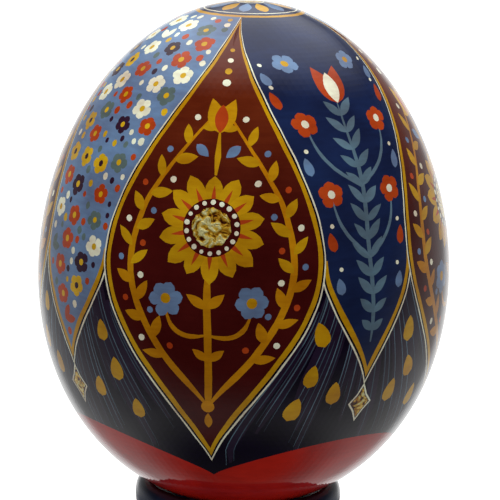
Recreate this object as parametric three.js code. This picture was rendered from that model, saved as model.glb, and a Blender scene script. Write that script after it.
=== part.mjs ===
// A painted and lacquered wooden egg that stands, blunt end down, in a turned ring stand.
// Millimetres, +Z up. The origin is the middle of the stand's underside.
import * as THREE from "three";

// Driving dimensions of the egg
const eggLength = 100;
const eggBreadth = 81;
// how far the widest plane lies below the middle of the length
const widestBelowMiddle = 3.5;

// Driving dimensions of the stand, from its foot up
const standHeight = 15;
const footRadius = 21.5;
const footEdgeRound = 1.2;
const footBeadHeight = 3.2;
const waistRadius = 17.6;
const rimRadius = 20.6;
const rimBeadHeight = 7;
// the lip is the rounded edge between the stand's side and the seat
const lipWidth = 2.5;
const lipDrop = 3;
const boreRadius = 12;
const boreChamfer = 0.6;
// the seat is turned to the egg's own curve and stays this far clear of it
const seatClearance = 0.3;

// Fineness of the turned surfaces
const turnSteps = 72;
const eggRings = 36;
const seatSteps = 6;
const curveSteps = 4;

// Radius of the egg at a height above the middle of its length. The length and the breadth set an
// ellipse, and moving its widest plane makes one end blunt and the other one pointed.
function eggRadius(aboveMiddle) {
  const ellipse = eggLength ** 2 - 4 * aboveMiddle ** 2;
  const skew = eggLength ** 2 + 8 * widestBelowMiddle * aboveMiddle + 4 * widestBelowMiddle ** 2;
  return (eggBreadth / 2) * Math.sqrt(Math.max(0, ellipse / skew));
}

// Height above the egg's lowest point at which its blunt end reaches a radius.
function eggHeightAt(radius) {
  let low = 0;
  let high = eggLength / 2 - widestBelowMiddle;
  for (let halving = 0; halving < 60; halving++) {
    const middle = (low + high) / 2;
    if (eggRadius(middle - eggLength / 2) < radius) low = middle;
    else high = middle;
  }
  return (low + high) / 2;
}

// How far the seat lies straight below the egg at a radius, so that the gap square to the surface is
// the clearance.
function seatDrop(radius) {
  const step = 0.01;
  const slope = (eggHeightAt(radius + step) - eggHeightAt(radius - step)) / (2 * step);
  return seatClearance * Math.hypot(1, slope);
}

// The egg sinks into the stand until the seat's outer circle is level with the stand's top.
const seatRadius = rimRadius - lipWidth;
const eggBottom = standHeight - eggHeightAt(seatRadius) + seatDrop(seatRadius);

// Turns a profile of (radius, height) points about Z into a named mesh.
function turned(name, profile, material) {
  const mesh = new THREE.Mesh(new THREE.LatheGeometry(profile, turnSteps), material);
  mesh.name = name;
  mesh.rotation.x = Math.PI / 2;
  return mesh;
}

// The egg is one solid piece of wood, closed at both poles.
function makeEgg() {
  const profile = [];
  for (let ring = 0; ring <= eggRings; ring++) {
    const aboveMiddle = -Math.cos((Math.PI * ring) / eggRings) * (eggLength / 2);
    const isPole = ring === 0 || ring === eggRings;
    profile.push(new THREE.Vector2(isPole ? 0 : eggRadius(aboveMiddle), aboveMiddle));
  }
  const lacquer = new THREE.MeshStandardMaterial({ color: 0x4a1613, roughness: 0.1, metalness: 0 });
  const egg = turned("egg", profile, lacquer);
  egg.position.z = eggBottom + eggLength / 2;
  return egg;
}

// The stand's outside, from the foot's underside to the seat: the foot's bead, the hollow waist, the
// fuller bead of the rim and the rounded lip.
function outsidePoints() {
  const hollowBottom = footBeadHeight;
  const hollowTop = standHeight - lipDrop - rimBeadHeight;
  const waistHeight = (hollowBottom + hollowTop) / 2;
  const footShoulder = (footRadius + waistRadius) / 2;
  const rimShoulder = (rimRadius + waistRadius) / 2;
  const beadMiddle = hollowTop + rimBeadHeight / 2;
  const path = new THREE.Path();
  path.moveTo(footRadius - footEdgeRound, 0);
  path.quadraticCurveTo(footRadius, 0, footRadius, footEdgeRound);
  path.quadraticCurveTo(footRadius, hollowBottom, footShoulder, hollowBottom);
  path.quadraticCurveTo(waistRadius, hollowBottom, waistRadius, waistHeight);
  path.quadraticCurveTo(waistRadius, hollowTop, rimShoulder, (hollowTop + beadMiddle) / 2);
  path.quadraticCurveTo(rimRadius, beadMiddle, rimRadius, standHeight - lipDrop);
  path.quadraticCurveTo(rimRadius, standHeight, seatRadius, standHeight);
  return path.getPoints(curveSteps);
}

// The seat, from just inside the lip down to the bore: the egg's own curve, lowered by the clearance.
function seatPoints() {
  const points = [];
  for (let step = 1; step <= seatSteps; step++) {
    const radius = seatRadius + ((boreRadius - seatRadius) * step) / seatSteps;
    points.push(new THREE.Vector2(radius, eggBottom + eggHeightAt(radius) - seatDrop(radius)));
  }
  return points;
}

// The stand is a turned ring with a plain bore, chamfered at the underside.
function makeStand() {
  const profile = [
    new THREE.Vector2(boreRadius + boreChamfer, 0),
    ...outsidePoints(),
    ...seatPoints(),
    new THREE.Vector2(boreRadius, boreChamfer),
    new THREE.Vector2(boreRadius + boreChamfer, 0),
  ];
  const lacquer = new THREE.MeshStandardMaterial({ color: 0x141c2e, roughness: 0.2, metalness: 0 });
  return turned("stand", profile, lacquer);
}

const eggOnStand = new THREE.Group();
eggOnStand.add(makeEgg());
eggOnStand.add(makeStand());

export default eggOnStand;
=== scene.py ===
import bisect
import math
import random

import bpy
from mathutils import Matrix, Vector, noise
from mathutils.geometry import delaunay_2d_cdt


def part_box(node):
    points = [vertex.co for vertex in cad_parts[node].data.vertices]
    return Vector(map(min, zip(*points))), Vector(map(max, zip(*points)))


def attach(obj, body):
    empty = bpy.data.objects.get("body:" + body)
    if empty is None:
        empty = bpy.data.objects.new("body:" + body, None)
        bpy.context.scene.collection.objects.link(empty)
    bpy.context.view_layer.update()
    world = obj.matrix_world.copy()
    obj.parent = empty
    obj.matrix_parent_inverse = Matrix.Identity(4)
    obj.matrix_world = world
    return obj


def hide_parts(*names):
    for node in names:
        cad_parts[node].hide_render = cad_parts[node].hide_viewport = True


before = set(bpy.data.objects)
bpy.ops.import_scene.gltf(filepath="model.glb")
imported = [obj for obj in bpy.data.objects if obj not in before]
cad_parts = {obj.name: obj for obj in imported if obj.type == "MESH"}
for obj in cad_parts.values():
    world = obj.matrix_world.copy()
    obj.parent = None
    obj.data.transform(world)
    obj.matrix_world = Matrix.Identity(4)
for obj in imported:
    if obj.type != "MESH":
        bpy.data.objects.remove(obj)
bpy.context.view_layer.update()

# The egg. The real one is turned from one block of wood and stands blunt end down. Its outline is an
# ellipse whose widest plane lies below the middle of its length. It is painted by hand in opaque
# colours, with touches of gold leaf, and sealed under a thick clear gloss lacquer.
MM = 0.001
egg_low, egg_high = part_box("egg")
egg_length = egg_high.z - egg_low.z
egg_breadth = egg_high.x - egg_low.x
egg_middle = (egg_high.z + egg_low.z) / 2
widest_below_middle = 3.5 * MM
outline_steps = 1200


def egg_radius(above_middle):
    """The egg's radius at a height above the middle of its length."""
    ellipse = egg_length ** 2 - 4 * above_middle ** 2
    skew = egg_length ** 2 + 8 * widest_below_middle * above_middle + 4 * widest_below_middle ** 2
    return egg_breadth / 2 * math.sqrt(max(0.0, ellipse / skew))


egg_outline = []
for step in range(outline_steps + 1):
    above_middle = math.cos(math.pi * step / outline_steps) * egg_length / 2
    egg_outline.append((egg_radius(above_middle), egg_middle + above_middle))

egg_arcs = [0.0]
for here, there in zip(egg_outline, egg_outline[1:]):
    egg_arcs.append(egg_arcs[-1] + math.dist(here, there))
tip_to_bottom = egg_arcs[-1]


def radius_at(arc):
    """The egg's radius at an arc from its tip, measured along the outline."""
    after = min(max(bisect.bisect(egg_arcs, arc), 1), outline_steps)
    share = (arc - egg_arcs[after - 1]) / (egg_arcs[after] - egg_arcs[after - 1])
    near, far = egg_outline[after - 1][0], egg_outline[after][0]
    return near + (far - near) * share


# The painting is drawn flat, on a round sheet whose middle is the egg's tip: a point's distance from
# the middle is its arc along the egg, and its bearing is its turn about the axis, with the front of
# the egg at bearing 0.
def tint(red, green, blue):
    """A pigment, from screen values of 0 to 255, as a linear colour."""
    channels = []
    for value in (red, green, blue):
        share = value / 255
        channels.append(share / 12.92 if share <= 0.04045 else ((share + 0.055) / 1.055) ** 2.4)
    return tuple(channels)


CRIMSON = tint(188, 28, 12)
AUBERGINE = tint(13, 3, 28)
DUSKY_PLUM = tint(40, 26, 48)
NAVY = tint(28, 40, 78)
SKY = tint(112, 137, 174)
RUSSET = tint(104, 38, 16)
MAROON = tint(74, 16, 14)
YELLOW_OCHRE = tint(222, 174, 30)
OCHRE = tint(208, 153, 16)
DEEP_OCHRE = tint(204, 134, 12)
CREAM = tint(250, 244, 216)
VERMILION = tint(190, 70, 26)
PLUM = tint(56, 30, 50)
SAGE = tint(98, 115, 112)
SLATE = tint(98, 122, 138)
DIM_SLATE = tint(68, 86, 100)
LEAF_GOLD = tint(250, 196, 84)

# The brush and the noise that shakes it are both seeded, so that every run paints the same egg.
paint_seed = 11
brush = random.Random(paint_seed)
noise.seed_set(paint_seed)
sheet_points = []
dab_corners = []
dab_pigments = []
dab_golds = []


def on_sheet(turn, arc):
    """Where a turn about the axis, in radians, and an arc from the tip lie on the flat sheet."""
    return Vector((arc * math.sin(turn), -arc * math.cos(turn)))


def lay(points, pigment, gold=0.0, unevenness=0.1):
    """Lays one dab of paint on the sheet, over all that was laid before."""
    area = sum(here.cross(there) for here, there in zip(points, points[1:] + points[:1]))
    if area < 0:
        points = points[::-1]
    first = len(sheet_points)
    sheet_points.extend(points)
    dab_corners.append(list(range(first, len(sheet_points))))
    strength = brush.uniform(1 - unevenness, 1 + unevenness)
    dab_pigments.append([min(1.0, channel * strength) for channel in pigment])
    dab_golds.append(gold)


def paint(anchor, outline, pigment, gold=0.0, wobble=0.07 * MM):
    """Paints an outline of (east, north) points about an anchor of (turn, arc)."""
    turn, arc = anchor
    shake_reach = 1.3 * MM
    points = []
    for east, north in outline:
        shake = noise.noise_vector(Vector((east, north, turn * MM)) / shake_reach) * wobble
        arc_here = arc - north - shake.y
        points.append(on_sheet(turn + (east + shake.x) / radius_at(arc_here), arc_here))
    lay(points, pigment, gold)


def moved(outline, east=0.0, north=0.0, heading=0.0, size=1.0):
    """An outline set down elsewhere, turned clockwise by its heading in degrees."""
    along = math.cos(math.radians(heading)) * size
    aside = math.sin(math.radians(heading)) * size
    return [(east + x * along + y * aside, north + y * along - x * aside) for x, y in outline]


def jitter(amount):
    """A random amount either way."""
    return brush.uniform(-amount, amount)


def disc(radius, steps=14):
    """A round dab."""
    angles = [math.tau * step / steps for step in range(steps)]
    return [(radius * math.cos(angle), radius * math.sin(angle)) for angle in angles]


def blade(length, width, fullest=0.5, bluntness=1.0, steps=8):
    """A petal, leaf or drop that grows up from the origin. fullest is where along it is widest."""
    power = math.log(0.5) / math.log(fullest)
    right = []
    for step in range(1, steps):
        along = step / steps
        half = width / 2 * math.sin(math.pi * along ** power) ** (1 / bluntness)
        right.append((half, along * length))
    return [(0.0, 0.0), *right, (0.0, length), *[(-x, y) for x, y in reversed(right)]]


def lozenge(width, height):
    """A lozenge whose sides curve in a little."""
    hollow = 0.22
    waist = (width * hollow, height * hollow)
    right = [(0, -height / 2), (waist[0], -waist[1]), (width / 2, 0), waist]
    return [*right, *[(-x, -y) for x, y in right]]


def torn(outline, depth, parts):
    """An outline with the ragged edge of torn leaf."""
    ragged = []
    for (x, y), (next_x, next_y) in zip(outline, outline[1:] + outline[:1]):
        for part in range(parts):
            share = part / parts
            torn_x = x + (next_x - x) * share + jitter(depth)
            torn_y = y + (next_y - y) * share + jitter(depth)
            ragged.append((torn_x, torn_y))
    return ragged


def bow(start, start_pull, end_pull, end, steps=14):
    """Points along a curve from start to end, drawn out by two pulls."""
    points = []
    for step in range(steps + 1):
        t = step / steps
        weights = ((1 - t) ** 3, 3 * t * (1 - t) ** 2, 3 * t ** 2 * (1 - t), t ** 3)
        pulls = (start, start_pull, end_pull, end)
        points.append(tuple(sum(w * p[axis] for w, p in zip(weights, pulls)) for axis in (0, 1)))
    return points


def line(path, width, set_down=0.25, lift=0.35):
    """A brush line along a path. It is thinner over the shares where the brush sets down and lifts."""
    left, right = [], []
    last = len(path) - 1
    for index, (x, y) in enumerate(path):
        before, after = path[max(index - 1, 0)], path[min(index + 1, last)]
        run = math.dist(before, after)
        aside = ((after[1] - before[1]) / run, -(after[0] - before[0]) / run)
        along = index / last
        half = width / 2 * min(1.0, 0.35 + 0.65 * along / set_down, 0.25 + 0.75 * (1 - along) / lift)
        right.append((x + aside[0] * half, y + aside[1] * half))
        left.append((x - aside[0] * half, y - aside[1] * half))
    return right + left[::-1]


def ground(boundary, pigment, steps=720):
    """Paints all above a boundary that runs round the egg, given as its arc at each turn."""
    turns = [math.tau * step / steps for step in range(steps)]
    lay([on_sheet(turn, boundary(turn)) for turn in turns], pigment, unevenness=0.0)


def band(start, end, upper_edge, lower_edge, pigment, steps=48):
    """Paints between two boundaries, from one turn to another."""
    turns = [start + (end - start) * step / steps for step in range(steps + 1)]
    upper = [on_sheet(turn, upper_edge(turn)) for turn in turns]
    lower = [on_sheet(turn, lower_edge(turn)) for turn in turns]
    lay(upper + lower[::-1], pigment, unevenness=0.0)


def hand_line(arc, sway=0.12 * MM):
    """A boundary at one arc, as steady as a hand draws it."""
    def boundary(turn):
        place = Vector((5 * math.cos(turn), 5 * math.sin(turn), arc / MM))
        return arc + sway * noise.noise(place)

    return boundary


# Layout of the painting. Four pointed medallions stand side by side round the egg. The fields between
# their upper halves are blue and navy by turns, and each ends in a pendant. The ground below is dark,
# and the blunt end is red. A pointed shape has the arcs of its tip, waist and foot, and half its turn.
medallion_count = 4
medallion_pitch = math.tau / medallion_count
first_turn = math.radians(-9)
medallion = (13 * MM, 63 * MM, 101 * MM, math.radians(29))
pendant = (40 * MM, 63 * MM, 84 * MM, math.radians(13.5))
border_width = 1.5 * MM
cap_arc = 10 * MM
dark_ground_end = 112 * MM
base_arc = 109 * MM
base_rise = 9 * MM
bottom_closing = 2 * MM
medallion_turns = [first_turn + index * medallion_pitch for index in range(medallion_count)]
field_turns = [turn + medallion_pitch / 2 for turn in medallion_turns]


def swell(share):
    """A pointed arch: 0 at a pointed shape's tip and 1 at its waist."""
    share = min(max(share, 0.0), 1.0)
    return 0.5 * (3 * share ** 2 - 2 * share ** 3) + 0.5 * math.sin(math.pi / 2 * share)


# A grown shape's points move out this many times as far as its sides do.
point_growth = 2.4


def pointed_half(shape, arc, grown=0.0):
    """Half of a pointed shape's turn at an arc, for the shape grown on all sides."""
    tip, waist, foot, half_turn = shape
    end = tip - point_growth * grown if arc < waist else foot + point_growth * grown
    widest = half_turn + grown / radius_at(waist)
    return widest * swell((arc - end) / (waist - end))


def field_half(arc):
    """Half of the width of the field between two medallions' borders at an arc, its pendant included."""
    half = medallion_pitch / 2 - pointed_half(medallion, arc, border_width)
    if arc > pendant[1]:
        half = min(half, pointed_half(pendant, arc))
    return half * radius_at(arc)


def lay_pointed(middle, shape, grown, pigment, first=0.0, steps=78):
    """Fills a pointed shape's outline, grown on all sides, from its first arc down."""
    tip, foot = shape[0] - point_growth * grown, shape[2] + point_growth * grown
    sway = 0.15 * MM
    upper_edge, right, left = [], [], []
    for step in range(steps):
        arc = tip + (foot - tip) * step / steps
        if arc < first - 0.01 * MM:
            continue
        half = pointed_half(shape, arc, grown)
        unsteadiness = noise.noise(Vector((middle * 9, arc / (4 * MM), grown / MM)))
        turn = middle + sway * unsteadiness / radius_at(arc)
        if first > 0 and not right:
            upper_edge = [on_sheet(turn + half * side / 10, arc) for side in range(-9, 10)]
        right.append(on_sheet(turn + half, arc))
        left.append(on_sheet(turn - half, arc))
    if first == 0:
        # both sides start at the tip, which the outline holds once
        del left[0]
    lay(upper_edge + right + [on_sheet(middle, foot)] + left[::-1], pigment, unevenness=0.0)


def lay_bordered(middle, shape, pigment):
    """A pointed shape with an ochre border between a cream line and a dark one."""
    lay_pointed(middle, shape, border_width, CREAM)
    lay_pointed(middle, shape, border_width - 0.3 * MM, AUBERGINE)
    lay_pointed(middle, shape, border_width - 0.65 * MM, OCHRE)
    lay_pointed(middle, shape, 0.0, pigment)


def shade_pointed(middle, shape, pigment, low_pigment, start=0.18, end=0.52, steps=13):
    """Shades a pointed shape from one pigment to another, between two shares of its height."""
    for step in range(1, steps + 1):
        mix = step / steps
        mix = 3 * mix ** 2 - 2 * mix ** 3
        shade = [high + (low - high) * mix for high, low in zip(pigment, low_pigment)]
        share = start + (end - start) * step / steps
        lay_pointed(middle, shape, 0.0, shade, first=shape[0] + (shape[2] - shape[0]) * share)


def base_edge(turn):
    """The red base rises in a dome between each two medallions."""
    return base_arc - base_rise * abs(math.sin(medallion_count / 2 * (turn - first_turn))) ** 0.8


def comb(middle, across, top, length, lines):
    """Fine lines side by side over a broad dusky stroke. They fan out between two medallions."""
    last_step = 18
    line_spacing = 0.05

    def stroke(share, start, width, pigment):
        path = []
        for step in range(last_step + 1):
            arc = start + length * step / last_step
            free = medallion_pitch / 2 - pointed_half(medallion, arc)
            path.append((share * free * radius_at(arc), start - arc))
        paint((middle, start), line(path, width, set_down=0.1, lift=0.3), pigment, wobble=0.0)

    stroke(across, top, brush.uniform(1.6, 3.4) * MM, DUSKY_PLUM)
    for number in range(lines):
        share = across + line_spacing * (number - (lines - 1) / 2) + jitter(0.012)
        pigment = brush.choice((SLATE, DIM_SLATE))
        stroke(share, top + jitter(3 * MM), brush.uniform(0.15, 0.24) * MM, pigment)


# Grounds: red to the very bottom, and dark above it with brushwork that fans out
ground(lambda turn: tip_to_bottom - bottom_closing, CRIMSON, steps=24)
ground(hand_line(dark_ground_end), AUBERGINE)
combs_per_field = 17
comb_reach = 0.93
for middle in field_turns:
    for number in range(combs_per_field):
        across = -comb_reach + 2 * comb_reach * number / (combs_per_field - 1) + jitter(0.05)
        top = (64 + 16 * brush.random()) * MM
        comb(middle, across, top, brush.uniform(19, 32) * MM, brush.randint(1, 3))
    band(middle - medallion_pitch / 2, middle + medallion_pitch / 2, base_edge,
         hand_line(dark_ground_end + MM), CRIMSON)

# Fields and their pendants, and the medallions
for index, middle in enumerate(field_turns):
    pigment = NAVY if index % 2 == 0 else SKY
    lay_bordered(middle, pendant, pigment)
    band(middle - medallion_pitch / 2, middle + medallion_pitch / 2, hand_line(cap_arc - MM),
         hand_line(pendant[1]), pigment)
for middle in medallion_turns:
    lay_bordered(middle, medallion, RUSSET)
    shade_pointed(middle, medallion, RUSSET, MAROON)


def spot_on(path, share):
    """The point at a share of a path, and the heading of the path there."""
    place = share * (len(path) - 1)
    index = min(int(place), len(path) - 2)
    (x, y), (next_x, next_y) = path[index], path[index + 1]
    over = place - index
    growing = math.degrees(math.atan2(next_x - x, next_y - y))
    return x + (next_x - x) * over, y + (next_y - y) * over, growing


def leaf(anchor, path, share, lean, length, width, pigment):
    """One leaf that grows from a path, at a share of its length, and leans off it."""
    x, y, growing = spot_on(path, share)
    length = length * (1 + jitter(0.1))
    width = width * (1 + jitter(0.12))
    shape = blade(length, width, fullest=0.45, bluntness=1.1)
    paint(anchor, moved(shape, x, y, growing + lean + jitter(6)), pigment)


def blossom(anchor, east, north, radius, petals, pigment, heart):
    """A small open flower with round petals that stand a little apart."""
    heading = brush.uniform(0, 360 / petals)
    petal_width = 1.5 * radius * math.sin(math.pi / petals)
    for petal in range(petals):
        shape = blade(radius * (1 + jitter(0.08)), petal_width, fullest=0.66, bluntness=1.5)
        paint(anchor, moved(shape, east, north, heading + 360 * petal / petals + jitter(4)), pigment)
    paint(anchor, moved(disc(radius * 0.3, 10), east, north), heart)


def tulip(anchor, east, north, heading, size, outer, inner):
    """Two outer petals that part, and one inner petal over them."""
    for lean in (-17, 17):
        outer_petal = blade(6.6 * MM, 3.0 * MM, fullest=0.42, bluntness=1.1)
        paint(anchor, moved(outer_petal, east, north, heading + lean, size), outer)
    inner_petal = blade(5.2 * MM, 2.3 * MM, fullest=0.5, bluntness=1.2)
    paint(anchor, moved(inner_petal, east, north, heading, size), inner)


def wreath_path(side, arc_zero):
    """A stem that runs up one side of a medallion, inside its border."""
    low, high, steps = -31 * MM, 26 * MM, 44
    path = []
    for step in range(steps + 1):
        north = low + (high - low) * step / steps
        arc = arc_zero - north
        opening = min(1.0, (north - low) / (11 * MM))
        inset = 4.6 * MM + 2.0 * MM * max(0.0, (north - 8 * MM) / (15 * MM))
        room = max(0.0, pointed_half(medallion, arc) * radius_at(arc) - inset)
        path.append((side * room * opening ** 0.5 * (1.5 - 0.5 * opening), north))
    return path


def wreath(anchor, side):
    """A leafy stem. Each leaf has a berry across the stem from it."""
    path = wreath_path(side, anchor[1])
    paint(anchor, line(path, 1.3 * MM, set_down=0.1, lift=0.5), DEEP_OCHRE)
    leaves = 14
    leaf_lean = 46
    berry_colours = (VERMILION, CREAM, SKY)
    for number in range(leaves):
        share = 0.17 + 0.75 * number / (leaves - 1)
        outward = -side if number % 2 else side
        pigment = DEEP_OCHRE if share < 0.45 else OCHRE
        leaf(anchor, path, share, outward * leaf_lean, 4.3 * MM, 1.9 * MM, pigment)
        # each berry sits off the stem, a little farther up than its leaf
        x, y, growing = spot_on(path, share)
        off_stem = moved([(-outward * 2.1 * MM, 1.0 * MM)], x, y, growing)[0]
        paint(anchor, moved(disc(0.62 * MM, 10), *off_stem), berry_colours[number % 3])


def sunflower(anchor, north):
    """The medallion's main flower: ochre petals about a heart of gold leaf in a ring of dots."""
    petals, dots = 14, 18
    dark_radius = 5.3 * MM
    dot_ring = 4.65 * MM
    gold_radius = 3.6 * MM
    for petal in range(petals):
        heading = 360 * petal / petals
        shape = blade(9.9 * MM * (1 + jitter(0.05)), 3.3 * MM, fullest=0.7, bluntness=1.4, steps=10)
        paint(anchor, moved(shape, 0, north, heading + jitter(3)), OCHRE)
        vein = blade(7.8 * MM, 0.9 * MM, fullest=0.6)
        paint(anchor, moved(vein, 0, north, heading), VERMILION)
    paint(anchor, moved(disc(dark_radius, 30), 0, north), MAROON)
    for dot in range(dots):
        angle = math.tau * dot / dots
        spot = (dot_ring * math.sin(angle), north + dot_ring * math.cos(angle))
        paint(anchor, moved(disc(0.46 * MM * (1 + jitter(0.15)), 10), *spot), CREAM)
    heart = torn(disc(gold_radius, 20), 0.16 * MM, 2)
    paint(anchor, moved(heart, 0, north), LEAF_GOLD, gold=1.0)


def spray(anchor):
    """All that grows inside one medallion."""
    for side in (-1, 1):
        wreath(anchor, side)
    stem = [(0.25 * MM * math.sin(step / 3), (-32 + 29 * step / 16) * MM) for step in range(17)]
    paint(anchor, line(stem, 1.4 * MM, set_down=0.1, lift=0.2), DEEP_OCHRE)
    for share, length in ((0.36, 3.6), (0.7, 4.4)):
        for lean in (-52, 52):
            leaf(anchor, stem, share, lean, length * MM, 1.8 * MM, DEEP_OCHRE)
    # the stem ends below in a knot, with a drop that hangs under it
    paint(anchor, moved(disc(1.25 * MM, 14), 0, -31 * MM), DEEP_OCHRE)
    drop = blade(3.4 * MM, 1.5 * MM, fullest=0.55, bluntness=1.3)
    paint(anchor, moved(drop, 0, -32.4 * MM, heading=180), DEEP_OCHRE)
    for side in (-1, 1):
        near, far = (side * 3.6 * MM, -17.6 * MM), (side * 7.6 * MM, -17.4 * MM)
        twig = bow((0, -16.6 * MM), near, far, (side * 8 * MM, -11 * MM))
        paint(anchor, line(twig, 0.9 * MM), DEEP_OCHRE)
        blossom(anchor, side * 8 * MM, -10.4 * MM, 3.3 * MM, 6, SKY, OCHRE)
        bud = blade(3.3 * MM, 1.9 * MM, fullest=0.55, bluntness=1.3)
        paint(anchor, moved(bud, side * 1.6 * MM, 16 * MM, heading=side * 48), SKY)
    sunflower(anchor, 3 * MM)
    neck = [(0, 12.6 * MM), (0.1 * MM, 16 * MM), (0, 21 * MM)]
    paint(anchor, line(neck, 1.2 * MM), OCHRE)
    tulip(anchor, 0, 20.6 * MM, 0, 1.1, OCHRE, VERMILION)
    for number, radius in enumerate((0.8, 0.7, 0.58, 0.46)):
        dot = moved(disc(radius * MM, 10), 0, (31 + 2.6 * number) * MM)
        paint(anchor, dot, OCHRE if number % 2 else CREAM)


for middle in medallion_turns:
    spray((middle, 60 * MM))


# Blue fields, packed with small blossoms, leaf pairs and berries, the largest first
def posy(here, colour):
    """A blossom with five petals and a heart of another colour."""
    heart = PLUM if colour == YELLOW_OCHRE else YELLOW_OCHRE
    blossom(here, 0, 0, brush.uniform(1.9, 2.25) * MM, 5, colour, heart)


def leaf_pair(here, colour):
    """Two leaves that spread from one point, turned about the middle of the pair."""
    heading = brush.uniform(-70, 70)
    below_middle = 1.5 * MM
    for lean in (-27, 27):
        shape = blade(3.2 * MM * (1 + jitter(0.1)), 1.6 * MM, fullest=0.52, bluntness=1.4)
        leaning = [(x, y - below_middle) for x, y in moved(shape, heading=lean)]
        paint(here, moved(leaning, heading=heading), colour)


def berry(here, colour):
    """A small uneven dot."""
    size = brush.uniform(0.5, 0.8) * MM
    paint(here, [(x * brush.uniform(0.85, 1.1), y * 1.1) for x, y in disc(size, 10)], colour)


# Each kind is given with its reach and with how often a free place is sought for it.
scatter_colours = (CREAM, VERMILION, YELLOW_OCHRE, PLUM, CREAM, VERMILION, SAGE)
scatter_sizes = ((posy, 2.1 * MM, 2600), (leaf_pair, 1.8 * MM, 2600), (berry, 0.7 * MM, 5200))
scatter_gap = 0.32 * MM
for middle in field_turns[1::2]:
    placed = []
    for draw, reach, tries in scatter_sizes:
        for attempt in range(tries):
            arc = brush.uniform(cap_arc + 1.2 * MM + reach, pendant[2] - 3 * MM)
            room = min(field_half(arc - reach), field_half(arc + reach)) - reach - 0.3 * MM
            east = brush.uniform(-room, room)
            spot = (east, arc)
            clear = all(math.dist(spot, other[:2]) > reach + other[2] + scatter_gap for other in placed)
            if room > 0 and clear:
                placed.append((east, arc, reach))
                colour = scatter_colours[len(placed) % len(scatter_colours)]
                draw((middle + east / radius_at(arc), arc), colour)

# Navy fields: a slate tree that bears a tulip, blossoms and drops
for middle in field_turns[0::2]:
    anchor = (middle, 50 * MM)
    trunk = [(0.3 * MM * math.sin(step / 2), (-29 + 46 * step / 24) * MM) for step in range(25)]
    paint(anchor, line(trunk, 0.9 * MM, set_down=0.1, lift=0.3), SLATE)
    pairs = 13
    for pair in range(pairs):
        share = 0.05 + 0.88 * pair / (pairs - 1)
        room = field_half(anchor[1] - trunk[int(share * 24)][1])
        for lean in (-46, 46):
            leaf(anchor, trunk, share, lean, min(0.9 * room, 4.6 * MM), 1.6 * MM, SLATE)
    tulip(anchor, 0, 16.4 * MM, 0, 1.3, VERMILION, CREAM)
    for side in (-1, 1):
        for low, high, spread in ((-10, -1, 6.8), (3, 12.5, 8.4)):
            near, far = (side * spread * 0.5 * MM, low * MM), (side * spread * MM, (low + 2) * MM)
            twig = bow((0, (low - 3) * MM), near, far, (side * spread * MM, high * MM))
            paint(anchor, line(twig, 0.7 * MM), SLATE)
            blossom(anchor, side * spread * MM, high * MM, 2.6 * MM, 5, VERMILION, CREAM)
        blossom(anchor, side * 7.2 * MM, 25.6 * MM, 2.4 * MM, 5, SKY, OCHRE)
        edge_drops = ((68, 3.2), (60, 3.6), (46, 3.6), (33, 3.8), (28, 3.0))
        for number, (arc, length) in enumerate(edge_drops):
            x = side * (field_half(arc * MM) - 1.9 * MM)
            drop = blade(length * MM, 1.9 * MM, fullest=0.4, bluntness=1.4)
            drop = moved(drop, x, (48.5 - arc) * MM, heading=side * 10)
            paint(anchor, drop, VERMILION if number % 2 else SKY)
            paint(anchor, moved(disc(0.42 * MM, 9), x, (53.2 - arc) * MM), CREAM)

# Lozenges of gold leaf under the pendants
for middle in field_turns:
    anchor = (middle, 91.5 * MM)
    paint(anchor, lozenge(5.4 * MM, 8.6 * MM), CREAM)
    paint(anchor, lozenge(4.5 * MM, 7.2 * MM), PLUM)
    paint(anchor, torn(lozenge(3.9 * MM, 6.4 * MM), 0.12 * MM, 5), LEAF_GOLD, gold=1.0)

# Ochre drops on the dark ground, as (east, arc) in millimetres
left_drops = ((-9.7, 79), (-12, 87), (-6.5, 91), (-14.5, 94))
right_drops = ((10.2, 80.5), (12.5, 88), (6.8, 92.5), (15, 95.5))
for middle in field_turns:
    for pair in zip(left_drops, right_drops):
        for east, arc in pair:
            here = (middle + east * MM / radius_at(arc * MM), arc * MM)
            length = brush.uniform(4.2, 5.2) * MM
            drop = blade(length, length * 0.62, fullest=0.36, bluntness=1.5)
            paint(here, moved(drop, heading=jitter(22)), OCHRE)

# Cap: a rosette at the tip
ground(hand_line(cap_arc + 0.8 * MM), OCHRE)
ground(hand_line(cap_arc), NAVY)
ground(hand_line(cap_arc - 0.8 * MM), CREAM)
ground(hand_line(cap_arc - 1.05 * MM), NAVY)
cap_petals = 12
cap_petal_half = math.radians(11.5)
for petal in range(cap_petals):
    turn = math.tau * petal / cap_petals + first_turn
    right, left = [], []
    for step in range(13):
        along = step / 12
        arc = (8.3 - 5.2 * along) * MM
        half = cap_petal_half * math.sin(math.pi * along ** 0.9) ** 0.8
        right.append(on_sheet(turn + half, arc))
        left.append(on_sheet(turn - half, arc))
    lay(right + left[-2:0:-1], OCHRE if petal % 2 else SKY)
ground(hand_line(2.7 * MM), CREAM, steps=60)
ground(hand_line(2.4 * MM), PLUM, steps=60)
cap_gold = [on_sheet(math.tau * step / 40, 2.1 * MM * (1 + jitter(0.04))) for step in range(40)]
lay(cap_gold, LEAF_GOLD, gold=1.0)

# Loose points keep the plain grounds as finely divided as the egg's curve needs.
ground_spacing = 1.4 * MM
ring_spacing = ground_spacing * 0.87
for ring in range(1, int((tip_to_bottom - bottom_closing - MM) / ring_spacing)):
    arc = ring * ring_spacing
    count = max(6, round(math.tau * radius_at(arc) / ground_spacing))
    for number in range(count):
        sheet_points.append(on_sheet(math.tau * (number + ring % 2 / 2) / count, arc))

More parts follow.
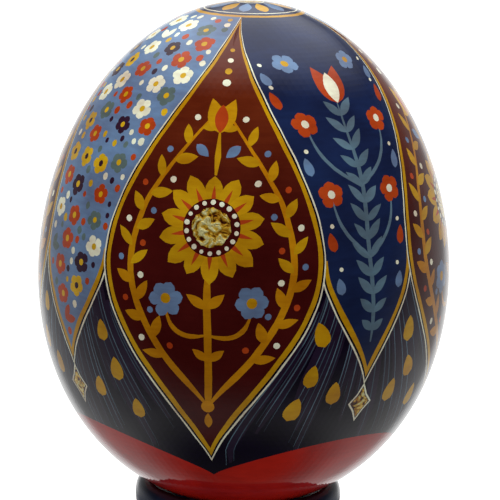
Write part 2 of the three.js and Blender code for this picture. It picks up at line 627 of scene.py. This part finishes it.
# The dabs are cut against each other on a stretched sheet, where a small square on the egg is a square
# too, so that no scrap is a sliver on the egg. stretched_reach is the logarithm of each arc's distance
# from the middle of that sheet.
reach_step = 0.1 * MM
stretched_reach = [math.log(reach_step)]
for step in range(1, int(tip_to_bottom / reach_step)):
    stretched_reach.append(stretched_reach[-1] + reach_step / radius_at((step + 0.5) * reach_step))


def stretched(point):
    """A point of the sheet, on the stretched sheet."""
    steps = min(max(point.length / reach_step - 1, 0), len(stretched_reach) - 2)
    whole = int(steps)
    near, far = stretched_reach[whole], stretched_reach[whole + 1]
    return point.normalized() * math.exp(near + (far - near) * (steps - whole)) / MM


def relaxed(point):
    """A point of the stretched sheet, back on the sheet."""
    if point.length == 0:
        return point
    reach = math.log(point.length * MM)
    whole = min(max(bisect.bisect(stretched_reach, reach) - 1, 0), len(stretched_reach) - 2)
    near, far = stretched_reach[whole], stretched_reach[whole + 1]
    return point.normalized() * (whole + 1 + (reach - near) / (far - near)) * reach_step


# A cut down the back, from the tip, lets the paint be unrolled into a rectangle.
back = len(sheet_points)
sheet_points.extend([Vector((0, 0)), on_sheet(math.pi, tip_to_bottom - bottom_closing)])
back_cut = [(back, back + 1)]
in_triangles = 0
smallest_gap = 1e-5
stretched_points = [stretched(point) for point in sheet_points]
cut = delaunay_2d_cdt(stretched_points, back_cut, dab_corners, in_triangles, smallest_gap, True)
cut_points, scraps, dabs_of_scrap = [relaxed(point) for point in cut[0]], cut[2], cut[5]

# Each scrap takes the paint that was laid last. The bottom closes on a ring of points that meet there.
scrap_corners = [list(corners) for corners, dabs in zip(scraps, dabs_of_scrap) if dabs]
scrap_dabs = [max(dabs) for dabs in dabs_of_scrap if dabs]
rim_arc = tip_to_bottom - bottom_closing - 0.01 * MM
rim = [index for index, point in enumerate(cut_points) if point.length > rim_arc]
rim.sort(key=lambda index: math.atan2(cut_points[index].x, -cut_points[index].y))
first_low = len(cut_points)
cut_points.extend([cut_points[index].normalized() * tip_to_bottom for index in rim])
for place, index in enumerate(rim):
    after = (place + 1) % len(rim)
    scrap_corners.append([index, first_low + place, first_low + after, rim[after]])
    scrap_dabs.append(0)

sheet = bpy.data.meshes.new("painted sheet")
sheet.from_pydata([(point.x, point.y, 0) for point in cut_points], [], scrap_corners)
pigments = sheet.attributes.new("pigment", "FLOAT_COLOR", "FACE")
pigments.data.foreach_set("color", [value for dab in scrap_dabs for value in (*dab_pigments[dab], 1.0)])
golds = sheet.attributes.new("gold", "FLOAT", "FACE")
golds.data.foreach_set("value", [dab_golds[dab] for dab in scrap_dabs])

# The unrolled paint: turn runs across the map, and arc runs down it.
unrolled = []
for corners in scrap_corners:
    points = [cut_points[index] for index in corners]
    half = 1 if sum(point.x for point in points) > 0 else -1
    turns = []
    for point in points:
        turn = abs(math.atan2(point.x, -point.y)) * half
        turns.append(turn if point.length > 0 else None)
    known = [turn for turn in turns if turn is not None]
    for point, turn in zip(points, turns):
        turn = sum(known) / len(known) if turn is None else turn
        unrolled.extend((0.5 + turn / math.tau, 1 - point.length / tip_to_bottom))
sheet.uv_layers.new(name="OFBake").uv.foreach_set("vector", unrolled)


def math_in(tree, operation, first, second=0.0, third=0.0):
    """A sum in a node tree. Each of its values is a number or the output of another node."""
    node = tree.nodes.new("ShaderNodeMath")
    node.operation = operation
    for socket, value in zip(node.inputs, (first, second, third)):
        if isinstance(value, (int, float)):
            socket.default_value = value
        else:
            tree.links.new(value, socket)
    return node.outputs["Value"]


# Turning. This tree wraps a flat round sheet about the axis: a point's distance from the sheet's hole
# becomes its distance along the outline of the turned piece, and its bearing stays. The tree sets the
# normals from the outline too, so that the lacquer reflects as smoothly as turned wood does.
def wrapping_tree():
    tree = bpy.data.node_groups.new("wrap about the axis", "GeometryNodeTree")
    sockets = (
        ("Sheet", "NodeSocketGeometry"),
        ("Outline", "NodeSocketObject"),
        ("Hole radius", "NodeSocketFloat"),
        ("Closing gap", "NodeSocketFloat"),
        ("Finish", "NodeSocketMaterial"),
    )
    for name, kind in sockets:
        tree.interface.new_socket(name, in_out="INPUT", socket_type=kind)
    tree.interface.new_socket("Piece", in_out="OUTPUT", socket_type="NodeSocketGeometry")
    add = tree.nodes.new
    link = tree.links.new
    inputs = add("NodeGroupInput")
    outputs = add("NodeGroupOutput")
    place = add("GeometryNodeInputPosition")
    distance = add("ShaderNodeVectorMath")
    distance.operation = "LENGTH"
    link(place.outputs["Position"], distance.inputs[0])
    arc = math_in(tree, "SUBTRACT", distance.outputs["Value"], inputs.outputs["Hole radius"])
    outline = add("GeometryNodeObjectInfo")
    link(inputs.outputs["Outline"], outline.inputs["Object"])
    sample = add("GeometryNodeSampleCurve")
    sample.mode = "LENGTH"
    link(outline.outputs["Geometry"], sample.inputs["Curves"])
    link(arc, sample.inputs["Length"])
    outward = add("ShaderNodeVectorMath")
    outward.operation = "NORMALIZE"
    link(place.outputs["Position"], outward.inputs[0])

    def outward_and_up(out_value, up_value):
        """A vector that leads out from the axis by one value and up by another."""
        out = add("ShaderNodeVectorMath")
        out.operation = "SCALE"
        link(outward.outputs["Vector"], out.inputs[0])
        link(out_value, out.inputs["Scale"])
        up = add("ShaderNodeCombineXYZ")
        link(up_value, up.inputs["Z"])
        both = add("ShaderNodeVectorMath")
        both.operation = "ADD"
        link(out.outputs["Vector"], both.inputs[0])
        link(up.outputs["Vector"], both.inputs[1])
        return both.outputs["Vector"]

    spot = add("ShaderNodeSeparateXYZ")
    link(sample.outputs["Position"], spot.inputs["Vector"])
    run = add("ShaderNodeSeparateXYZ")
    link(sample.outputs["Tangent"], run.inputs["Vector"])
    fall = math_in(tree, "MULTIPLY", run.outputs["Z"], -1)
    facing = add("GeometryNodeSetMeshNormal")
    facing.mode = "FREE"
    facing.domain = "POINT"
    link(inputs.outputs["Sheet"], facing.inputs["Mesh"])
    link(outward_and_up(fall, run.outputs["X"]), facing.inputs["Custom Normal"])
    wrap = add("GeometryNodeSetPosition")
    link(facing.outputs["Mesh"], wrap.inputs["Geometry"])
    link(outward_and_up(spot.outputs["X"], spot.outputs["Z"]), wrap.inputs["Position"])
    close = add("GeometryNodeMergeByDistance")
    link(wrap.outputs["Geometry"], close.inputs["Geometry"])
    link(inputs.outputs["Closing gap"], close.inputs["Distance"])
    real = add("GeometryNodeRealizeInstances")
    link(close.outputs["Geometry"], real.inputs["Geometry"])
    finish = add("GeometryNodeSetMaterial")
    link(real.outputs["Geometry"], finish.inputs["Geometry"])
    link(inputs.outputs["Finish"], finish.inputs["Material"])
    link(finish.outputs["Geometry"], outputs.inputs["Piece"])
    return tree


wrapping = wrapping_tree()


def turned(name, sheet, outline, hole_radius, finish):
    """The piece that a sheet makes when it is wrapped along an outline of (radius, height) points."""
    curve = bpy.data.curves.new(name + " outline", "CURVE")
    curve.dimensions = "3D"
    spline = curve.splines.new("POLY")
    spline.points.add(len(outline) - 1)
    for point, (radius, height) in zip(spline.points, outline):
        point.co = (radius, 0, height, 1)
    guide = bpy.data.objects.new(name + " outline", curve)
    blank = bpy.data.objects.new(name + " sheet", sheet)
    for helper in (guide, blank):
        bpy.context.scene.collection.objects.link(helper)
    modifier = blank.modifiers.new("wrap", "NODES")
    modifier.node_group = wrapping
    settings = {"Outline": guide, "Hole radius": hole_radius, "Closing gap": 0.002 * MM, "Finish": finish}
    for item in wrapping.interface.items_tree:
        if item.in_out == "INPUT" and item.name in settings:
            modifier[item.identifier] = settings[item.name]
    evaluated = blank.evaluated_get(bpy.context.evaluated_depsgraph_get())
    mesh = bpy.data.meshes.new_from_object(evaluated)
    for helper in (guide, blank):
        bpy.data.objects.remove(helper)
    piece = bpy.data.objects.new(name, mesh)
    bpy.context.scene.collection.objects.link(piece)
    return piece


# The lacquered finish of the egg and, in its own values, of the stand
def mottling_group():
    """Hand-mixed paint is never one even tone: this shades a pigment in soft patches and fine streaks."""
    group = bpy.data.node_groups.new("mottled pigment", "ShaderNodeTree")
    group.interface.new_socket("Pigment", in_out="INPUT", socket_type="NodeSocketColor")
    for name in ("Patch scale", "Patch depth", "Streak scale", "Streak depth"):
        group.interface.new_socket(name, in_out="INPUT", socket_type="NodeSocketFloat")
    group.interface.new_socket("Pigment", in_out="OUTPUT", socket_type="NodeSocketColor")
    add = group.nodes.new
    link = group.links.new
    inputs = add("NodeGroupInput")
    outputs = add("NodeGroupOutput")
    coordinates = add("ShaderNodeTexCoord")
    slanted = add("ShaderNodeMapping")
    slanted.inputs["Rotation"].default_value = (0.5, 0.3, 0.0)
    slanted.inputs["Scale"].default_value = (0.2, 0.2, 1.0)
    link(coordinates.outputs["Object"], slanted.inputs["Vector"])
    strength = 1.0
    textures = (("Patch", coordinates.outputs["Object"], 5), ("Streak", slanted.outputs["Vector"], 2))
    for kind, vector, detail in textures:
        texture = add("ShaderNodeTexNoise")
        texture.inputs["Detail"].default_value = detail
        link(vector, texture.inputs["Vector"])
        link(inputs.outputs[kind + " scale"], texture.inputs["Scale"])
        centred = math_in(group, "SUBTRACT", texture.outputs["Fac"], 0.5)
        strength = math_in(group, "MULTIPLY_ADD", centred, inputs.outputs[kind + " depth"], strength)
    # green and blue lose more than red where the paint is weak, so it turns warmer as it darkens
    less_red = math_in(group, "POWER", strength, 1.6)
    strengths = add("ShaderNodeCombineXYZ")
    link(strength, strengths.inputs["X"])
    link(less_red, strengths.inputs["Y"])
    link(less_red, strengths.inputs["Z"])
    shaded = add("ShaderNodeVectorMath")
    shaded.operation = "MULTIPLY"
    link(inputs.outputs["Pigment"], shaded.inputs[0])
    link(strengths.outputs["Vector"], shaded.inputs[1])
    link(shaded.outputs["Vector"], outputs.inputs["Pigment"])
    return group


mottling = mottling_group()


def mottled(tree, patch_scale, patch_depth, streak_scale, streak_depth):
    """The mottling in a material's tree, with its own values."""
    node = tree.nodes.new("ShaderNodeGroup")
    node.node_tree = mottling
    node.inputs["Patch scale"].default_value = patch_scale
    node.inputs["Patch depth"].default_value = patch_depth
    node.inputs["Streak scale"].default_value = streak_scale
    node.inputs["Streak depth"].default_value = streak_depth
    return node


# Tones of the crumpled gold leaf: painted shade for its creases, a painted shaded gold, the gold itself,
# and a painted glint for its ridges.
CREASE_SHADE = tint(66, 22, 12)
SHADED_GOLD = tint(186, 122, 22)
GOLD = tint(250, 204, 66)
GLINT = tint(255, 246, 176)


def painted_lacquer():
    """Paint under clear gloss lacquer. The gold leaf in it is crumpled, with painted shade in its creases
    and painted glints on its ridges.
    """
    material = bpy.data.materials.new("painted_lacquer")
    material.use_nodes = True
    tree = material.node_tree
    add = tree.nodes.new
    link = tree.links.new
    shader = tree.nodes["Principled BSDF"]
    pigment = add("ShaderNodeAttribute")
    pigment.attribute_name = "pigment"
    gold = add("ShaderNodeAttribute")
    gold.attribute_name = "gold"
    mottle = mottled(tree, patch_scale=110, patch_depth=0.9, streak_scale=1400, streak_depth=0.3)
    link(pigment.outputs["Color"], mottle.inputs["Pigment"])
    coordinates = add("ShaderNodeTexCoord")
    crumple = add("ShaderNodeTexNoise")
    crumple.inputs["Scale"].default_value = 560
    crumple.inputs["Detail"].default_value = 5
    crumple.inputs["Distortion"].default_value = 1.6
    link(coordinates.outputs["Object"], crumple.inputs["Vector"])
    # This ramp paints shade into the leaf's creases and glints onto its ridges, from the same noise that
    # gives its bumps.
    gold_with_painted_shade_and_glints = add("ShaderNodeValToRGB")
    ramp = gold_with_painted_shade_and_glints.color_ramp.elements
    golds = ((0.37, CREASE_SHADE), (0.43, SHADED_GOLD), (0.52, GOLD), (0.60, GLINT))
    for place, tone in golds[1:3]:
        ramp.new(place)
    for element, (place, tone) in zip(ramp, golds):
        element.position = place
        element.color = (*tone, 1)
    link(crumple.outputs["Fac"], gold_with_painted_shade_and_glints.inputs["Fac"])
    colour = add("ShaderNodeMix")
    colour.data_type = "RGBA"
    link(gold.outputs["Fac"], colour.inputs["Factor"])
    link(mottle.outputs["Pigment"], colour.inputs["A"])
    link(gold_with_painted_shade_and_glints.outputs["Color"], colour.inputs["B"])
    link(colour.outputs["Result"], shader.inputs["Base Color"])
    link(math_in(tree, "MULTIPLY", gold.outputs["Fac"], 0.3), shader.inputs["Metallic"])
    bump = add("ShaderNodeBump")
    bump.inputs["Distance"].default_value = 1.6 * MM
    link(gold.outputs["Fac"], bump.inputs["Strength"])
    link(crumple.outputs["Fac"], bump.inputs["Height"])
    link(bump.outputs["Normal"], shader.inputs["Normal"])
    shader.inputs["Roughness"].default_value = 0.28
    shader.inputs["Specular IOR Level"].default_value = 0.0
    shader.inputs["Coat Weight"].default_value = 1.0
    shader.inputs["Coat Roughness"].default_value = 0.02
    shader.inputs["Coat IOR"].default_value = 1.5
    return material


egg = turned("painted_egg", sheet, egg_outline, 0.0, painted_lacquer())
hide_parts("egg")
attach(egg, "root")

# The stand. The real one is a ring turned from one piece of wood, with a bead at its foot, a hollow
# waist, a fuller bead at its rim and a seat that takes the egg's blunt end, in dark navy gloss lacquer.
# Nothing joins the egg to it.
stand_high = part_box("stand")[1]
stand_height = stand_high.z
foot_radius = stand_high.x
foot_round = 1.2 * MM
foot_bead = 3.2 * MM
waist_radius = 17.6 * MM
rim_radius = 20.6 * MM
rim_bead = 7 * MM
lip_width = 2.5 * MM
lip_drop = 3 * MM
bore_radius = 12 * MM
bore_chamfer = 0.6 * MM
seat_clearance = 0.3 * MM


def seat_points(steps=24):
    """The seat, from the bore up to the lip: the egg's outline, moved square to itself."""
    seat_radius = rim_radius - lip_width
    points = []
    for here, there in zip(egg_outline[outline_steps // 2:], egg_outline[outline_steps // 2 + 1:]):
        run = math.dist(here, there)
        out = (here[1] - there[1]) / run * seat_clearance
        up = (there[0] - here[0]) / run * seat_clearance
        point = (here[0] + out, here[1] + up)
        if bore_radius < point[0] < seat_radius and point[1] < stand_height:
            points.append(point)
    return points[::-1][::max(1, len(points) // steps)]


def stand_outline():
    """Over the lip, down the outside, in along the underside, up the bore and out over the seat."""
    hollow_top = stand_height - lip_drop - rim_bead
    waist_height = (foot_bead + hollow_top) / 2
    bead_middle = hollow_top + rim_bead / 2
    lip_start = (rim_radius - lip_width, stand_height)
    lip_end = (rim_radius, stand_height - lip_drop)
    rim_shoulder = ((rim_radius + waist_radius) / 2, (hollow_top + bead_middle) / 2)
    waist = (waist_radius, waist_height)
    foot_shoulder = ((foot_radius + waist_radius) / 2, foot_bead)
    foot_side = (foot_radius, foot_round)
    foot_under = (foot_radius - foot_round, 0)
    curves = (
        (lip_start, (rim_radius, stand_height), lip_end),
        (lip_end, (rim_radius, bead_middle), rim_shoulder),
        (rim_shoulder, (waist_radius, hollow_top), waist),
        (waist, (waist_radius, foot_bead), foot_shoulder),
        (foot_shoulder, (foot_radius, foot_bead), foot_side),
        (foot_side, (foot_radius, 0), foot_under),
    )
    points = []
    for start, pull, end in curves:
        first_pull = tuple(s + (p - s) * 2 / 3 for s, p in zip(start, pull))
        last_pull = tuple(e + (p - e) * 2 / 3 for e, p in zip(end, pull))
        points.extend(bow(start, first_pull, last_pull, end, steps=10)[:-1])
    points.extend([foot_under, (bore_radius + bore_chamfer, 0), (bore_radius, bore_chamfer)])
    points.extend(seat_points())
    points.append(lip_start)
    return points


def ring_sheet(name, outline, hole_radius, steps=192):
    """A flat ring, divided at each point of an outline, to be wrapped along it."""
    rings = [hole_radius]
    for here, there in zip(outline, outline[1:]):
        rings.append(rings[-1] + math.dist(here, there))
    turns = [math.tau * step / steps for step in range(steps)]
    points = [(*on_sheet(turn, radius), 0) for radius in rings for turn in turns]
    faces = []
    for ring in range(len(rings) - 1):
        for step in range(steps):
            after = (step + 1) % steps
            inner, outer = ring * steps, (ring + 1) * steps
            faces.append((inner + step, outer + step, outer + after, inner + after))
    sheet = bpy.data.meshes.new(name)
    sheet.from_pydata(points, [], faces)
    return sheet


def navy_lacquer():
    """Navy lacquer, rubbed down to a satin sheen on the sides and left glossy on the lip."""
    material = bpy.data.materials.new("navy_lacquer")
    material.use_nodes = True
    tree = material.node_tree
    shader = tree.nodes["Principled BSDF"]
    mottle = mottled(tree, patch_scale=150, patch_depth=0.5, streak_scale=900, streak_depth=0.35)
    mottle.inputs["Pigment"].default_value = (*tint(42, 54, 82), 1)
    tree.links.new(mottle.outputs["Pigment"], shader.inputs["Base Color"])
    coordinates = tree.nodes.new("ShaderNodeTexCoord")
    spot = tree.nodes.new("ShaderNodeSeparateXYZ")
    tree.links.new(coordinates.outputs["Object"], spot.inputs["Vector"])
    gloss = tree.nodes.new("ShaderNodeMapRange")
    gloss.inputs["From Min"].default_value = stand_height - lip_drop
    gloss.inputs["From Max"].default_value = stand_height - lip_drop / 2
    gloss.inputs["To Min"].default_value = 0.3
    gloss.inputs["To Max"].default_value = 1.0
    tree.links.new(spot.outputs["Z"], gloss.inputs["Value"])
    tree.links.new(gloss.outputs["Result"], shader.inputs["Coat Weight"])
    shader.inputs["Roughness"].default_value = 0.4
    shader.inputs["Specular IOR Level"].default_value = 0.0
    shader.inputs["Coat Roughness"].default_value = 0.12
    shader.inputs["Coat IOR"].default_value = 1.5
    return material


stand_hole = 20 * MM
stand_points = stand_outline()
stand_sheet = ring_sheet("stand sheet", stand_points, stand_hole)
stand = turned("turned_stand", stand_sheet, stand_points, stand_hole, navy_lacquer())
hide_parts("stand")
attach(stand, "root")

# The floor is a wide sheet of white paper.
floor_reach = 3.0
corners = [(x * floor_reach, y * floor_reach, 0) for x, y in ((-1, -1), (1, -1), (1, 1), (-1, 1))]
floor_mesh = bpy.data.meshes.new("floor")
floor_mesh.from_pydata(corners, [], [(0, 1, 2, 3)])
floor = bpy.data.objects.new("floor", floor_mesh)
bpy.context.scene.collection.objects.link(floor)
paper = bpy.data.materials.new("white_paper")
paper.use_nodes = True
paper_shader = paper.node_tree.nodes["Principled BSDF"]
paper_shader.inputs["Base Color"].default_value = (0.95, 0.95, 0.95, 1)
paper_shader.inputs["Roughness"].default_value = 0.9
paper_shader.inputs["Emission Color"].default_value = (1, 1, 1, 1)
paper_shader.inputs["Emission Strength"].default_value = 0.5
floor.data.materials.append(paper)
floor.visible_glossy = False
floor.visible_diffuse = False

# The light. A wide soft lamp hangs over the egg, polarised so that it doesn't glare in the lacquer.
softbox = bpy.data.lights.new("overhead softbox", "AREA")
softbox.shape = "SQUARE"
softbox.size = 1.6
softbox.energy = 13
lamp = bpy.data.objects.new("overhead softbox", softbox)
lamp.location = (0, -0.3, 0.9)
lamp.visible_glossy = False
bpy.context.scene.collection.objects.link(lamp)

# What the lacquer mirrors is a dark room in front of the egg, white cloth under and behind it, a lit
# backdrop, and a large soft panel that hangs above it at the back.
world = bpy.data.worlds.new("studio")
bpy.context.scene.world = world
world.use_nodes = True
studio = world.node_tree


def soft_step(value, start, end, low=0.0, high=1.0):
    """Goes softly from low to high as a value goes from start to end."""
    node = studio.nodes.new("ShaderNodeMapRange")
    node.interpolation_type = "SMOOTHSTEP"
    studio.links.new(value, node.inputs["Value"])
    for name, setting in (("From Min", start), ("From Max", end), ("To Min", low), ("To Max", high)):
        node.inputs[name].default_value = setting
    return node.outputs["Result"]


def soft_panel(bearing, rise, inner, outer, level):
    """A round patch of light about a direction, all in degrees. It fades from inner to outer."""
    toward = studio.nodes.new("ShaderNodeVectorMath")
    toward.operation = "DOT_PRODUCT"
    studio.links.new(looking.outputs["Generated"], toward.inputs[0])
    bearing, rise = math.radians(bearing), math.radians(rise)
    flat = math.cos(rise)
    toward.inputs[1].default_value = (flat * math.sin(bearing), -flat * math.cos(bearing), math.sin(rise))
    edge, core = math.cos(math.radians(outer)), math.cos(math.radians(inner))
    return soft_step(toward.outputs["Value"], edge, core, 0, level)


looking = studio.nodes.new("ShaderNodeTexCoord")
direction = studio.nodes.new("ShaderNodeSeparateXYZ")
studio.links.new(looking.outputs["Generated"], direction.inputs["Vector"])
height = direction.outputs["Z"]
downward = math_in(studio, "MULTIPLY", height, -0.75)
backward_and_down = math_in(studio, "MULTIPLY_ADD", direction.outputs["Y"], 0.6, downward)
cloth = soft_step(backward_and_down, start=-0.1, end=0.8, low=0.01, high=0.56)
under_shade = soft_step(height, start=-0.98, end=-0.76, low=0.08, high=1)
shaded_cloth = math_in(studio, "MULTIPLY", cloth, under_shade)
lit_backdrop = soft_panel(bearing=180, rise=-16, inner=22, outer=36, level=0.55)
high_panel = soft_panel(bearing=180, rise=62, inner=14, outer=50, level=1.4)
light = math_in(studio, "MAXIMUM", math_in(studio, "ADD", shaded_cloth, lit_backdrop), high_panel)
# what the camera sees behind the egg is plain white
light_path = studio.nodes.new("ShaderNodeLightPath")
seen = math_in(studio, "MAXIMUM", light, light_path.outputs["Is Camera Ray"])
# the white paper under the egg throws light back up at it
from_below = soft_step(height, start=0.05, end=-0.05, low=0, high=0.3)
bounce = math_in(studio, "MULTIPLY", from_below, light_path.outputs["Is Diffuse Ray"])
studio.links.new(math_in(studio, "ADD", seen, bounce), studio.nodes["Background"].inputs["Strength"])
studio.nodes["Background"].inputs["Color"].default_value = (1, 1, 1, 1)

# The camera looks slightly down on the egg, from nearly half a metre away. It is rolled a little,
# because the photographed egg leans in its frame.
camera_distance = 456 * MM
camera_elevation = math.radians(13)
camera_roll = math.radians(1.47)
frame_pixels = 500
pixels_per_radian = 2308
widest_in_frame = (243.6, 271.5)
sensor_width = 36

widest = Vector((0, 0, egg_middle - widest_below_middle))
camera_data = bpy.data.cameras.new("camera")
camera_data.sensor_width = sensor_width
camera_data.lens = sensor_width * pixels_per_radian / frame_pixels
camera_data.clip_start = 0.01
camera = bpy.data.objects.new("camera", camera_data)
bpy.context.scene.collection.objects.link(camera)
away = Vector((0, -math.cos(camera_elevation), math.sin(camera_elevation)))
right = Vector((math.cos(camera_roll), 0, 0)) + away.cross(Vector((1, 0, 0))) * math.sin(camera_roll)
above = away.cross(right)
per_pixel = camera_distance / pixels_per_radian
aim = widest + right * (frame_pixels / 2 - widest_in_frame[0]) * per_pixel
aim += above * (widest_in_frame[1] - frame_pixels / 2) * per_pixel
place = widest + away * camera_distance
backward = (place - aim).normalized()
sideways = above.cross(backward).normalized()
upward = backward.cross(sideways)
camera_turn = Matrix((sideways, upward, backward)).transposed().to_4x4()
camera.matrix_world = Matrix.Translation(place) @ camera_turn
bpy.context.scene.camera = camera
bpy.context.scene.view_settings.view_transform = "Standard"
